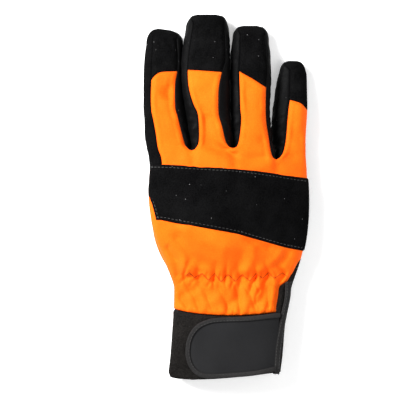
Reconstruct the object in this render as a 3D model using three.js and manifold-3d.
// A work glove for the right hand, lying palm down with its thumb folded under the palm.
// Fingers point along +Y, the thumb's side is -X, and the glove rests on z = 0. Lengths are in millimetres.
// The glove is one hollow skin, a union of lofted tubes, cut into its sewn panels. Overlaid pieces are layers
// of the same tubes, grown a little and cut to their outlines.
import * as THREE from "three";
import { mergeVertices } from "three/addons/utils/BufferGeometryUtils.js";
import Module from "manifold-3d";

const wasm = await Module();
wasm.setup();

// Hand
const palmLength = 111; // cuff seam to the crotches between the fingers
const palmDepth = 25; // thickness of the filled palm
const thumbLift = 18.5; // height of the palm over the surface where the folded thumb lies under it
const fingerGap = 0.9; // free space between fingers that touch
const littleGap = 4; // wider space beside the little finger
const fabric = 1.5; // thickness of the sewn panels
const seam = 0.35; // gap between two sewn panels
const facetTolerance = 0.13; // how far a facet may leave the form
const restFlat = 1; // how far the soft underside is flattened where it rests
const gatherHeight = 2.2; // height of the gathers that the elastic draws in at the wrist
const notchRadius = 4.6; // round end of the gap in the back panel between two fingers

// Cuff, strap and overlaid pieces
const cuffLength = 48.5;
const cuffDepth = 28;
const cuffWall = 2.4;
const bandThickness = 1.2;
const strapHeight = 42;
const strapLength = 66;
const strapThickness = 1.8;
const bindingWidth = 3.2; // raised edge of the strap
const bindingThickness = 1.5;
const padThickness = 1.2;
const slitBindingWidth = 4;
const slitBindingLength = 62;
const slitInset = 2; // the slit's bound edge from the hand's right edge at the cuff's seam
const strapClear = 2.2; // free space between the strap and the slit's bound edge

// Thumb
const thumbLength = 120; // from its root near the cuff to its tip
const thumbWidth = 27;
const thumbDepth = 15.5;

// Fingers from the index to the little one. Lengths run from the crotches to the tip.
const fingers = [
  { name: "index", length: 85, width: 26.4, depth: 20 },
  { name: "middle", length: 96, width: 32.6, depth: 21 },
  { name: "ring", length: 88, width: 27.2, depth: 20 },
  { name: "little", length: 63, width: 23.8, depth: 17 },
];

// Where each finger's root lies beside its middle, its width there, and where the back panel ends on either
// side of it, as shares of the finger's width and length.
const fingerShares = {
  index: { rootShift: 0.17, rootWidth: 1.12, capLeft: 0.63, capRight: 0.65 },
  middle: { rootShift: 0.14, rootWidth: 0.83, capLeft: 0.58, capRight: 0.57 },
  ring: { rootShift: 0.16, rootWidth: 0.98, capLeft: 0.63, capRight: 0.52 },
  little: { rootShift: 0, rootWidth: 0.9, capLeft: 0.56, capRight: 0.45 },
};

// A finger's form along its length, as shares of its width, depth and lift.
const fingerForm = [
  { along: -0.34, width: 0.8, depth: 0.86, shift: 1.1, lift: 1 },
  { along: 0, width: 1, depth: 0.97, shift: 1, lift: 1 },
  { along: 0.2, width: 1, depth: 1, shift: 0.5, lift: 0.97 },
  { along: 0.4, width: 1, depth: 1, shift: 0, lift: 0.96 },
  { along: 0.6, width: 0.99, depth: 0.97, shift: 0, lift: 0.62 },
  { along: 0.78, width: 0.95, depth: 0.92, shift: 0.06, lift: 0.16 },
  { along: 0.9, width: 0.84, depth: 0.86, shift: 0.12, lift: 0.02 },
  { along: 0.96, width: 0.7, depth: 0.68, shift: 0.14, lift: 0 },
  { along: 0.99, width: 0.5, depth: 0.45, shift: 0.14, lift: 0 },
];

// The dorsal panel's edges on each finger, as shares across the finger.
const panelEdges = {
  index: [
    { along: -0.1, left: 0.4, right: 0.94 },
    { along: 0.15, left: 0.24, right: 0.92 },
    { along: 0.45, left: 0.2, right: 0.86 },
    { along: 0.64, left: 0.22, right: 0.9 },
    { along: 1.1, left: 0.16, right: 0.94 },
  ],
  middle: [
    { along: -0.1, left: 0.08, right: 0.93 },
    { along: 0.12, left: 0.2, right: 0.84 },
    { along: 0.3, left: 0.26, right: 0.77 },
    { along: 0.5, left: 0.14, right: 0.8 },
    { along: 1.1, left: 0.16, right: 0.9 },
  ],
  ring: [
    { along: -0.1, left: 0.06, right: 0.93 },
    { along: 0.12, left: 0.2, right: 0.9 },
    { along: 0.4, left: 0.25, right: 0.91 },
    { along: 0.6, left: 0.24, right: 0.95 },
    { along: 1.1, left: 0.26, right: 0.95 },
  ],
  little: [
    { along: -0.1, left: 0.2, right: 1.2 },
    { along: 0.2, left: 0.45, right: 1.2 },
    { along: 0.5, left: 0.47, right: 1.2 },
    { along: 1.1, left: 0.46, right: 1.2 },
  ],
};

// The hand's form from the cuff seam (0) to the crotches (1). Edges are shares of the span over the fingers.
const handForm = [
  { along: -0.06, left: 0.182, right: 0.87, depth: 1.08, lift: 0 },
  { along: 0, left: 0.182, right: 0.874, depth: 1.06, lift: 0 },
  { along: 0.08, left: 0.184, right: 0.888, depth: 1, lift: 0.05 },
  { along: 0.15, left: 0.182, right: 0.904, depth: 0.94, lift: 0.2 },
  { along: 0.3, left: 0.13, right: 0.952, depth: 0.98, lift: 0.6 },
  { along: 0.44, left: 0.077, right: 0.982, depth: 1, lift: 0.92 },
  { along: 0.58, left: 0.047, right: 0.996, depth: 1, lift: 1 },
  { along: 0.72, left: 0.03, right: 0.998, depth: 0.98, lift: 1 },
  { along: 0.9, left: 0.038, right: 0.992, depth: 0.9, lift: 1 },
  { along: 0.99, left: 0.03, right: 0.99, depth: 0.7, lift: 1 },
  { along: 1.03, left: 0.05, right: 0.97, depth: 0.4, lift: 1 },
];

// The gathers at the wrist, across the span. Each is a soft ridge that runs up the back and down the cuff.
const gathers = [
  { across: 0.28, width: 0.035, height: 0.8 },
  { across: 0.39, width: 0.04, height: 1 },
  { across: 0.5, width: 0.035, height: 0.7 },
  { across: 0.61, width: 0.04, height: 1 },
  { across: 0.73, width: 0.04, height: 0.8 },
];
const gatherAlong = [
  { along: -0.4, height: 0 },
  { along: -0.12, height: 0.5 },
  { along: 0, height: 0.9 },
  { along: 0.1, height: 1 },
  { along: 0.3, height: 0 },
];

// The folded thumb from its root (0) to its tip (1). Its middle is a share of the span, and the other columns
// are shares of its own sizes.
const thumbForm = [
  { along: -0.15, middle: 0.34, width: 0.5, depth: 0.8, lift: 0.2 },
  { along: -0.02, middle: 0.28, width: 1, depth: 1, lift: 0.1 },
  { along: 0.13, middle: 0.222, width: 1.22, depth: 1.05, lift: 0 },
  { along: 0.28, middle: 0.21, width: 1.34, depth: 1.02, lift: 0 },
  { along: 0.42, middle: 0.25, width: 1.26, depth: 1, lift: 0 },
  { along: 0.57, middle: 0.305, width: 1, depth: 1, lift: 0 },
  { along: 0.75, middle: 0.335, width: 0.92, depth: 0.96, lift: 0 },
  { along: 0.88, middle: 0.345, width: 0.84, depth: 0.88, lift: 0 },
  { along: 0.96, middle: 0.348, width: 0.66, depth: 0.64, lift: 0 },
  { along: 0.99, middle: 0.348, width: 0.42, depth: 0.4, lift: 0 },
];

// The cuff from its seam (0) to its free edge (1). Left and right are shares of the hand's width at the seam,
// from the hand's left edge there.
const cuffForm = [
  { along: 0, left: 0, right: 1, depth: 0.97 },
  { along: 0.3, left: -0.012, right: 0.978, depth: 0.98 },
  { along: 0.7, left: -0.03, right: 0.96, depth: 1 },
  { along: 1, left: -0.052, right: 0.94, depth: 1.02 },
];

// Outlines in plan. Across is a share of the span over the fingers, and along a share of the palm's length.
const bandOutline = {
  top: [[0.04, 0.915], [0.3, 0.905], [0.55, 0.89], [0.8, 0.86], [1.03, 0.815]],
  bottom: [[1.03, 0.352], [0.83, 0.4], [0.6, 0.455], [0.3, 0.521], [0.083, 0.561], [0.036, 0.69]],
};
const orangeOnPalm = [
  [0.4, -0.02], [0.33, 0.1], [0.25, 0.22], [0.247, 0.33], [0.29, 0.48], [0.333, 0.64], [0.345, 0.85],
  [0.352, 1.06], [0.34, 1.115], [0.305, 1.13], [0.275, 1.1], [0.268, 1.03], [0.25, 0.965], [0.215, 0.895],
  [0.15, 0.835], [0.075, 0.8], [-0.15, 0.78],
];
const patchOnThumb = [
  [0.06, 0.81], [0.15, 0.85], [0.21, 0.905], [0.243, 0.97], [0.258, 1.03], [0.255, 1.07],
];
const slitOutline = [[0.905, 0.215], [0.85, 0.158], [0.82, 0.076], [0.8, -0.05], [1.1, -0.05], [1.1, 0.3]];
const indexPadOutline = { from: 0.37, to: 0.7, inset: 0.1 };
const middlePadOutline = { from: 0.43, to: 0.72, inset: 0.14 };
const palmPadOutline = [
  [0.045, 0.9], [0.04, 1.08], [0.075, 1.19], [0.13, 1.23], [0.19, 1.2], [0.225, 1.12], [0.23, 0.9],
];

// Smooth value of one column of a table at a place along it.
function sample(table, column, along) {
  const last = table.length - 1;
  if (along <= table[0].along) return table[0][column];
  if (along >= table[last].along) return table[last][column];
  let i = 0;
  while (along > table[i + 1].along) i++;
  const [a, b] = [table[i], table[i + 1]];
  const slope = (p, q) => (table[q][column] - table[p][column]) / (table[q].along - table[p].along);
  const step = b.along - a.along;
  const t = (along - a.along) / step;
  const startSlope = slope(Math.max(i - 1, 0), i + 1) * step;
  const endSlope = slope(i, Math.min(i + 2, last)) * step;
  return (
    (2 * t ** 3 - 3 * t ** 2 + 1) * a[column] +
    (t ** 3 - 2 * t ** 2 + t) * startSlope +
    (3 * t ** 2 - 2 * t ** 3) * b[column] +
    (t ** 3 - t ** 2) * endSlope
  );
}

// Places across the hand: the fingers stand side by side from the index's outer edge at x = 0.
const gapAfter = [fingerGap, fingerGap, littleGap, 0];
let span = 0;
for (const [i, finger] of fingers.entries()) {
  Object.assign(finger, fingerShares[finger.name]);
  finger.middle = span + finger.width / 2;
  span += finger.width + gapAfter[i];
}

// The arch across the palm: 1 over the thumb, falling to a little at the little finger's edge.
function arch(share) {
  const t = Math.min(Math.max((share - 0.4) / 0.62, 0), 1);
  return 1 - 0.88 * t * t * (3 - 2 * t);
}

const handY = (along) => along * palmLength;
const handLift = (along) => sample(handForm, "lift", along) * thumbLift;

// Height of the gathers over the back of the wrist at x, at a place along the hand.
function gathered(x, along) {
  let ridges = 0;
  for (const { across, width, height } of gathers) {
    ridges += height * Math.exp(-(((x / span - across) / width) ** 2));
  }
  return gatherHeight * sample(gatherAlong, "height", along) * ridges;
}

// A closed superellipse section in the plane y. The ring is raised by lift(x), its upper side by relief(x)
// too, and it is flattened on the surface below.
function sectionRing({ y, middle, halfWidth, halfDepth, lift, relief = () => 0, count, power, floor }) {
  const ring = [];
  for (let i = 0; i < count; i++) {
    const angle = (2 * Math.PI * i) / count;
    const [c, s] = [Math.cos(angle), Math.sin(angle)];
    const x = middle + halfWidth * Math.sign(c) * Math.abs(c) ** (2 / power);
    const z = halfDepth * Math.sign(s) * Math.abs(s) ** (2 / power);
    const upper = Math.max(s, 0) ** 0.5;
    ring.push(new THREE.Vector3(x, y, Math.max(lift(x) + z + upper * relief(x), floor)));
  }
  return ring;
}

// A solid through rings of equal counts, closed by a fan at either end.
function loft(rings) {
  const count = rings[0].length;
  const points = rings.flat();
  const faces = [];
  for (let r = 0; r < rings.length - 1; r++) {
    for (let i = 0; i < count; i++) {
      const [a, b] = [r * count + i, r * count + ((i + 1) % count)];
      faces.push(a, b, b + count, a, b + count, a + count);
    }
  }
  const ends = [[rings[0], 0, true], [rings.at(-1), (rings.length - 1) * count, false]];
  for (const [ring, first, flip] of ends) {
    const middle = ring.reduce((sum, p) => sum.add(p), new THREE.Vector3()).divideScalar(count);
    points.push(middle);
    for (let i = 0; i < count; i++) {
      const [a, b] = [first + i, first + ((i + 1) % count)];
      faces.push(points.length - 1, flip ? b : a, flip ? a : b);
    }
  }
  const geometry = new THREE.BufferGeometry().setFromPoints(points);
  geometry.setIndex(faces);
  return solidFrom(geometry);
}

function solidFrom(source) {
  const geometry = source.clone();
  geometry.deleteAttribute("normal");
  geometry.deleteAttribute("uv");
  const merged = mergeVertices(geometry, 1e-4);
  const vertProperties = new Float32Array(merged.attributes.position.array);
  const triVerts = new Uint32Array(merged.index.array);
  const solid = new wasm.Manifold(new wasm.Mesh({ numProp: 3, vertProperties, triVerts }));
  if (solid.volume() > 0) return solid;
  for (let i = 0; i < triVerts.length; i += 3) {
    [triVerts[i + 1], triVerts[i + 2]] = [triVerts[i + 2], triVerts[i + 1]];
  }
  return new wasm.Manifold(new wasm.Mesh({ numProp: 3, vertProperties, triVerts }));
}

function geometryFrom(solid) {
  const { numProp, numVert, vertProperties, triVerts } = solid.getMesh();
  const positions = new Float32Array(numVert * 3);
  for (let i = 0; i < numVert; i++) {
    positions.set(vertProperties.subarray(i * numProp, i * numProp + 3), i * 3);
  }
  const geometry = new THREE.BufferGeometry();
  geometry.setAttribute("position", new THREE.BufferAttribute(positions, 3));
  geometry.setIndex(new THREE.BufferAttribute(new Uint32Array(triVerts), 1));
  return geometry;
}

const unite = (solids) => solids.reduce((all, one) => all.add(one));

// An outline in plan, [x, y] points, with every side moved out by a distance.
function grownOutline(outline, grow) {
  const points = outline.map(([x, y]) => new THREE.Vector2(x, y));
  if (THREE.ShapeUtils.isClockWise(points)) points.reverse();
  return points.map((point, i) => {
    const before = point.clone().sub(points.at(i - 1)).normalize();
    const after = points[(i + 1) % points.length].clone().sub(point).normalize();
    const outward = new THREE.Vector2(before.y + after.y, -before.x - after.x).normalize();
    const share = Math.max(outward.x * after.y - outward.y * after.x, 0.5);
    return point.clone().addScaledVector(outward, grow / share);
  });
}

// The same outline carried through every height.
const highest = 90;
function prism(outline, grow = 0) {
  const shape = new THREE.Shape(grownOutline(outline, grow));
  const extruded = new THREE.ExtrudeGeometry(shape, { depth: 2 * highest, bevelEnabled: false });
  return solidFrom(extruded.translate(0, 0, -highest));
}

// A box between two places in x, in y and, where it doesn't reach through every height, in z.
function boxBetween(x0, x1, y0, y1, z0 = -highest, z1 = highest) {
  const middle = [(x0 + x1) / 2, (y0 + y1) / 2, (z0 + z1) / 2];
  return solidFrom(new THREE.BoxGeometry(x1 - x0, y1 - y0, z1 - z0).translate(...middle));
}

// Sections of the hand, a finger and the thumb, grown by an offset that is negative for the hollow inside.
const alongs = (table, between) => {
  const list = [];
  for (let i = 0; i < table.length - 1; i++) {
    const steps = Math.max(1, Math.round(between * (table[i + 1].along - table[i].along)));
    const step = (table[i + 1].along - table[i].along) / steps;
    for (let k = 0; k < steps; k++) list.push(table[i].along + step * k);
  }
  return [...list, table.at(-1).along];
};

function handSection(along) {
  const left = sample(handForm, "left", along) * span;
  const right = sample(handForm, "right", along) * span;
  const halfDepth = (sample(handForm, "depth", along) * palmDepth) / 2;
  return { left, right, halfDepth, lift: handLift(along) };
}

const handMid = (x, along) => {
  const { halfDepth, lift } = handSection(along);
  const full = sample(handForm, "depth", Math.min(along, 0.72)) * palmDepth / 2;
  return Math.max(full, halfDepth) - restFlat + lift * arch(x / span);
};

function handSolid(offset) {
  const rings = alongs(handForm, 8).map((along) => {
    const { left, right, halfDepth } = handSection(along);
    const inEnd = along === handForm.at(-1).along ? offset : 0;
    return sectionRing({
      y: handY(along) + inEnd,
      middle: (left + right) / 2,
      halfWidth: (right - left) / 2 + offset,
      halfDepth: halfDepth + offset,
      lift: (x) => handMid(x, along),
      relief: (x) => gathered(x, along),
      count: 36,
      power: 2.7,
      floor: -offset,
    });
  });
  return loft(rings);
}

function fingerSection(finger, along) {
  const width = finger.width * sample(fingerForm, "width", along);
  const rootShare = Math.max(0, 1 - Math.max(along, 0) / 0.4) ** 1.5;
  const halfWidth = (width / 2) * (1 + (finger.rootWidth - 1) * rootShare);
  const middle = finger.middle + finger.rootShift * finger.width * sample(fingerForm, "shift", along);
  const halfDepth = (finger.depth * sample(fingerForm, "depth", along)) / 2;
  const core = (finger.depth * Math.max(sample(fingerForm, "depth", Math.min(along, 0.86)), 0)) / 2;
  const lift = thumbLift * arch(finger.middle / span) * sample(fingerForm, "lift", along);
  const y = palmLength + along * finger.length;
  return { y, middle, halfWidth, halfDepth, mid: core - restFlat + lift };
}

function fingerSolid(finger, offset) {
  const rings = alongs(fingerForm, 7).map((along) => {
    const { y, middle, halfWidth, halfDepth, mid } = fingerSection(finger, along);
    const atEnd = along === fingerForm.at(-1).along;
    return sectionRing({
      y: y + (atEnd ? offset : 0),
      middle,
      halfWidth: Math.max(halfWidth + offset, 1),
      halfDepth: Math.max(halfDepth + offset, 1),
      lift: () => mid,
      count: 16,
      power: 2.5,
      floor: -offset,
    });
  });
  return loft(rings);
}

const thumbRootY = palmLength * 0.25;
function thumbSection(along) {
  return {
    y: thumbRootY + along * thumbLength,
    middle: sample(thumbForm, "middle", along) * span,
    halfWidth: (sample(thumbForm, "width", along) * thumbWidth) / 2,
    halfDepth: (sample(thumbForm, "depth", along) * thumbDepth) / 2,
    mid: thumbDepth / 2 - restFlat + sample(thumbForm, "lift", along) * thumbLift,
  };
}

function thumbSolid(offset) {
  const rings = alongs(thumbForm, 8).map((along) => {
    const { y, middle, halfWidth, halfDepth, mid } = thumbSection(along);
    const atEnd = along === thumbForm.at(-1).along;
    return sectionRing({
      y: y + (atEnd ? offset : 0),
      middle,
      halfWidth: halfWidth + offset,
      halfDepth: Math.max(halfDepth + offset, 1),
      lift: () => mid,
      count: 18,
      power: 2.4,
      floor: -offset,
    });
  });
  return loft(rings);
}

const tubes = (offset) => unite([handSolid(offset), ...fingers.map((f) => fingerSolid(f, offset))]);
const outside = tubes(0);
const inside = tubes(-fabric);
const thumbOutside = thumbSolid(0);
const thumbInside = thumbSolid(-fabric);
const skin = outside.add(thumbOutside).subtract(inside.add(thumbInside));

const acrossSteps = 8;
// A region above (or below) the middle surface of the hand, between two edges given in x.
function handRegion(leftOf, rightOf, from, to, side, clear) {
  const rings = [];
  const steps = 8;
  for (let k = 0; k <= steps; k++) {
    const along = from + ((to - from) * k) / steps;
    const [left, right] = [leftOf(along), rightOf(along)];
    const ring = [];
    for (let i = 0; i <= acrossSteps; i++) {
      const x = left + ((right - left) * i) / acrossSteps;
      ring.push(new THREE.Vector3(x, handY(along), handMid(x, along) + side * clear));
    }
    ring.push(new THREE.Vector3(right, handY(along), side * highest));
    ring.push(new THREE.Vector3(left, handY(along), side * highest));
    rings.push(side > 0 ? ring : ring.reverse());
  }
  return loft(rings);
}

function fingerRegion(finger, edgesOf, side, clear, from = -0.12, to = 1.12) {
  const rings = [];
  const steps = 10;
  for (let k = 0; k <= steps; k++) {
    const along = from + ((to - from) * k) / steps;
    const { middle, halfWidth, mid } = fingerSection(finger, Math.min(along, 0.86));
    const [left, right] = edgesOf(along, middle, halfWidth);
    const yHere = palmLength + along * finger.length;
    const near = mid + side * clear;
    rings.push([
      new THREE.Vector3(left, yHere, near),
      new THREE.Vector3(right, yHere, near),
      new THREE.Vector3(right, yHere, side * highest),
      new THREE.Vector3(left, yHere, side * highest),
    ]);
  }
  return loft(rings);
}

// The dorsal panel's edges on a finger. Over the tip the panel reaches past the finger on both sides.
const dorsalEdges = (finger, inset) => (along, middle, halfWidth) => {
  const table = panelEdges[finger.name];
  const past = along > 0.93 ? 3 * fabric : 0;
  const left = middle - halfWidth + 2 * halfWidth * sample(table, "left", along);
  const right = middle - halfWidth + 2 * halfWidth * sample(table, "right", along);
  return [left + inset - past, right - inset + past];
};

// On the palm side the finger fronts reach nearly to the fingers' edges.
const palmShare = 0.1;
const palmEdges = (finger, inset) => (along, middle, halfWidth) => {
  const past = along > 0.93 ? 3 * fabric : 0;
  const outer = finger.name === "little" ? 4 * fabric : 0;
  const edge = halfWidth * (1 - 2 * palmShare);
  return [middle - edge + inset - past, middle + edge - inset + past + outer];
};

// Crotches: a round-ended notch between two fingers, where the strips between the fingers show from above.
const notchAlong = [1.0, 1.02, 0.94];
function notch(i, radius) {
  const [a, b] = [fingerSection(fingers[i], 0.04), fingerSection(fingers[i + 1], 0.04)];
  const x = (a.middle + a.halfWidth + b.middle - b.halfWidth) / 2;
  const y = palmLength * notchAlong[i] + radius - seam;
  const drum = new THREE.CylinderGeometry(radius, radius, 2 * highest, 14).rotateX(Math.PI / 2);
  return solidFrom(drum.translate(x, y, 0)).add(boxBetween(x - radius, x + radius, y, y + 3 * radius));
}
const notches = (grow) => unite([0, 1, 2].map((i) => notch(i, notchRadius + grow)));

// The index's outer strip runs down to the lower corner of the knuckle band, and narrows on the way.
const stripEnd = 0.71;
const stripLeft = (inset) => (along) => {
  const { left, right } = handSection(along);
  if (along < stripEnd) return left - 6 * fabric;
  const share = 0.045 + (0.06 * (along - stripEnd)) / (1 - stripEnd);
  return left + (right - left) * share + inset;
};
const pastRight = (along) => handSection(along).right + 6 * fabric;

const half = seam / 2;
const dorsalSide = (inset) =>
  unite([
    handRegion(stripLeft(inset), pastRight, stripEnd, 1.02, 1, inset),
    handRegion((along) => handSection(along).left - 6 * fabric, pastRight, -0.02, stripEnd, 1, inset),
    ...fingers.map((f) => fingerRegion(f, dorsalEdges(f, inset), 1, inset)),
  ]).subtract(notches(inset));

const palmLeft = (inset) => (along) => {
  const { left, right } = handSection(along);
  if (along < stripEnd) return left - 6 * fabric;
  return left + (right - left) * 0.03 + inset;
};
const palmSide = (inset) =>
  unite([
    handRegion(palmLeft(inset), pastRight, stripEnd, 0.97, -1, inset),
    handRegion((along) => handSection(along).left - 6 * fabric, pastRight, -0.02, stripEnd, -1, inset),
    ...fingers.map((f) => fingerRegion(f, palmEdges(f, inset), -1, inset)),
  ]);

// The cap's edge across a finger, and the finger beyond it.
function beyondCap(finger, shift) {
  const yAt = (share) => palmLength + finger.length * share + shift;
  const reach = finger.width * 0.75;
  const { middle } = fingerSection(finger, 0.6);
  const slope = (yAt(finger.capRight) - yAt(finger.capLeft)) / finger.width;
  const mean = (yAt(finger.capRight) + yAt(finger.capLeft)) / 2;
  const top = palmLength + finger.length + 20;
  const [xa, xb] = [middle - reach, middle + reach];
  return prism([[xa, mean - slope * reach], [xb, mean + slope * reach], [xb, top], [xa, top]]);
}

// An outline in plan as a smooth closed curve, or with straight sides.
const planPoint = ([across, along]) => new THREE.Vector2(across * span, along * palmLength);
function smoothEdge(points, perPoint = 2) {
  const curve = new THREE.SplineCurve(points.map(planPoint));
  return curve.getPoints(points.length * perPoint).map((p) => [p.x, p.y]);
}

// Regions of the skin's pieces. Each grows by a distance, so that a piece can be cut back from its neighbour.
// A region that is open to a side runs on past every piece there.
const past = 2 * palmLength;
const aboveCuff = boxBetween(-past, span + past, half, palmLength + past);
const thumbSeamY = thumbRootY + 0.24 * thumbLength;
const thumbClear = 0.6; // room round the free thumb's tube
const thumbZone = (grow) =>
  thumbSolid(thumbClear + grow).intersect(boxBetween(-past, span, thumbSeamY - grow, past));
const orangeZone = (grow) => {
  const outline = prism([...smoothEdge(orangeOnPalm), [-0.3 * span, -0.02 * palmLength]], grow);
  const thumbBackTop = 0.56 * thumbDepth + grow;
  const onThumb = thumbZone(grow).intersect(boxBetween(-past, span, -seam, past, -highest, thumbBackTop));
  const onHeel = palmSide(-grow).intersect(boxBetween(-past, span, -seam, thumbSeamY + seam));
  return onThumb.add(onHeel).intersect(outline);
};
const patchZone = (grow) => {
  const outside = [[0.1 * span, 1.15 * palmLength], [-0.2 * span, 0.85 * palmLength]];
  return thumbZone(grow).intersect(prism([...smoothEdge(patchOnThumb), ...outside], grow));
};
const dorsalZone = (grow) => dorsalSide(-grow);
const everywhere = () => aboveCuff;

// Each zone takes what the zones before it leave.
const zones = [dorsalZone, orangeZone, patchZone, thumbZone, (grow) => palmSide(-grow), everywhere];
let left = skin.intersect(aboveCuff);
const [dorsal, thumbBack, thumbPatch, thumbPalm, palmAll, sides] = zones.map((zone) => {
  const piece = left.intersect(zone(-half));
  left = left.subtract(zone(half));
  return piece;
});
const slitPrism = (grow) => prism(slitOutline.map(([x, y]) => [x * span, y * palmLength]), grow);

// The cuff is a tube of its own below the seam. Straps and bands are layers over the tubes.
const cuffLeft = handSection(0).left;
const cuffWidth = handSection(0).right - cuffLeft;
function cuffSolid(offset, wallOffset = offset, past = 0) {
  const rings = alongs(cuffForm, 5).map((along) => {
    const left = cuffLeft + sample(cuffForm, "left", along) * cuffWidth;
    const right = cuffLeft + sample(cuffForm, "right", along) * cuffWidth;
    const halfDepth = (sample(cuffForm, "depth", along) * cuffDepth) / 2;
    return sectionRing({
      y: -along * cuffLength + (along === 0 ? past - half : 0) - (along === 1 ? past : 0),
      middle: (left + right) / 2,
      halfWidth: (right - left) / 2 + offset,
      halfDepth: halfDepth + offset,
      lift: () => halfDepth - restFlat,
      relief: (x) => gathered(x, (-along * cuffLength) / palmLength),
      count: 32,
      power: 2.7,
      floor: -wallOffset,
    });
  });
  return loft(rings);
}
const cuff = cuffSolid(0).subtract(cuffSolid(-cuffWall, -cuffWall, 1));

const overCuff = (offset) => cuffSolid(offset, 0, 1);
const upper = boxBetween(-past, span + past, -past, 2 * past, cuffDepth * 0.42, highest);
const cuffLayer = (from, thickness) => overCuff(from + thickness).subtract(overCuff(from)).intersect(upper);

const slitX = cuffLeft + cuffWidth - slitInset; // middle of the slit's bound edge at the cuff's seam
const slitLean = 0.13;
const bindingStrip = (grow) => {
  const halfW = slitBindingWidth / 2;
  const yTop = slitBindingLength - cuffLength + 0.1 * cuffLength;
  const yLow = -0.93 * cuffLength;
  const xAt = (y) => slitX + slitLean * y;
  const corner = (y, side) => [xAt(y) + side * halfW, y];
  return prism([corner(yLow, -1), corner(yLow, 1), corner(yTop, 1), corner(yTop, -1)], grow);
};

// The strap's outline in plan, inset by a distance. Its left end is round, and its right end meets the slit's
// bound edge.
function strapOutline(inset, open = false) {
  const xr = slitX - slitBindingWidth / 2 - strapClear + (open ? strapHeight : 0);
  const xl = slitX - slitBindingWidth / 2 - strapLength + inset;
  const yb = -cuffLength + inset;
  const yt = yb + strapHeight - 2 * inset;
  const round = strapHeight * 0.44 - inset;
  const points = [[xr, yb + 0.09 * cuffLength], [(xr + xl) / 2, yb]];
  for (let k = 0; k <= 8; k++) {
    const angle = -Math.PI / 2 - (k * Math.PI) / 16;
    points.push([xl + round + round * Math.cos(angle), yb + round + round * Math.sin(angle)]);
  }
  for (let k = 0; k <= 8; k++) {
    const angle = Math.PI - (k * Math.PI) / 16;
    points.push([xl + round + round * Math.cos(angle), yt - round + round * Math.sin(angle)]);
  }
  points.push([xr, yt + 0.06 * cuffLength]);
  return prism(points);
}
const strap = cuffLayer(seam, strapThickness).intersect(strapOutline(0)).subtract(bindingStrip(seam));
const rimStart = seam * 2 + strapThickness;
const strapBinding = cuffLayer(rimStart, bindingThickness)
  .intersect(strapOutline(0))
  .subtract(strapOutline(bindingWidth, true))
  .subtract(bindingStrip(seam));

// Layers over the hand.
const over = (offset) => unite([handSolid(offset), ...fingers.map((f) => fingerSolid(f, offset))]);
const skinOver = over(seam);
const bandPrism = prism([...smoothEdge(bandOutline.top), ...smoothEdge(bandOutline.bottom)]);
const band = over(seam + bandThickness).subtract(skinOver).intersect(bandPrism).intersect(dorsalSide(half));
const slitBinding = over(2 * seam + bandThickness)
  .add(overCuff(2 * seam + bandThickness))
  .subtract(skinOver.add(overCuff(seam)))
  .intersect(bindingStrip(0))
  .intersect(upper);

const padLayer = over(seam + padThickness).subtract(skinOver);
function fingerPad(finger, { from, to, inset }) {
  const edges = (along, middle, halfWidth) => {
    const end = Math.min(along - from, to - along) / (to - from);
    const round = Math.sqrt(Math.max(1 - Math.max(1 - end / 0.25, 0) ** 2, 0.05));
    const reach = halfWidth * (1 - 2 * inset) * round;
    return [middle - reach, middle + reach];
  };
  return padLayer.intersect(fingerRegion(finger, edges, -1, 1, from, to));
}
const palmPadPrism = prism(smoothEdge(palmPadOutline));
const palmPad = padLayer
  .intersect(palmPadPrism)
  .intersect(palmSide(1))
  .subtract(fingerSolid(fingers[1], seam + padThickness));

// The largest body of a solid, without slivers that a cut leaves.
const mainBody = (solid) => {
  const bodies = solid.decompose().sort((a, b) => b.volume() - a.volume());
  return bodies[0].simplify(facetTolerance);
};

const orange = { color: 0xff6a0a, roughness: 0.75, metalness: 0 };
const black = { color: 0x161617, roughness: 0.85, metalness: 0 };
const grey = { color: 0x2b2b2c, roughness: 0.8, metalness: 0 };
const rubber = { color: 0x303133, roughness: 0.5, metalness: 0 };

const glove = new THREE.Group();
function place(name, solid, finish) {
  const mesh = new THREE.Mesh(geometryFrom(mainBody(solid)), new THREE.MeshStandardMaterial(finish));
  mesh.name = name;
  glove.add(mesh);
}

for (const finger of fingers) place("cap_" + finger.name, dorsal.intersect(beyondCap(finger, half)), black);
const belowCaps = fingers.reduce((rest, finger) => rest.subtract(beyondCap(finger, -half)), dorsal);
place("back_panel", belowCaps.subtract(slitPrism(half)), orange);
place("side_gusset", dorsal.intersect(slitPrism(-half)), black);
place("palm_panel", palmAll, black);

// The strips on the fingers' sides, from the index's outer edge to the little finger.
const strips = [
  "index_side",
  "fourchette_index_middle",
  "fourchette_middle_ring",
  "fourchette_ring_little",
];
const middleX = (solid) => (solid.boundingBox().min[0] + solid.boundingBox().max[0]) / 2;
const largestFour = sides.decompose().sort((a, b) => b.volume() - a.volume()).slice(0, strips.length);
largestFour.sort((a, b) => middleX(a) - middleX(b)).forEach((piece, i) => place(strips[i], piece, black));

place("thumb_back", thumbBack, orange);
place("thumb_palm", thumbPalm, black);
place("thumb_patch", thumbPatch, grey);
place("knuckle_band", band, black);
place("index_pad", fingerPad(fingers[0], indexPadOutline), black);
place("middle_pad", fingerPad(fingers[1], middlePadOutline), black);
place("palm_pad", palmPad, black);
place("cuff", cuff, black);
place("slit_binding", slitBinding, black);
place("strap", strap, rubber);
place("strap_binding", strapBinding, grey);

// The origin is under the middle of the whole glove, on the surface that it rests on.
const box = new THREE.Box3().setFromObject(glove);
glove.position.set(-(box.min.x + box.max.x) / 2, -(box.min.y + box.max.y) / 2, -box.min.z);
export default glove;
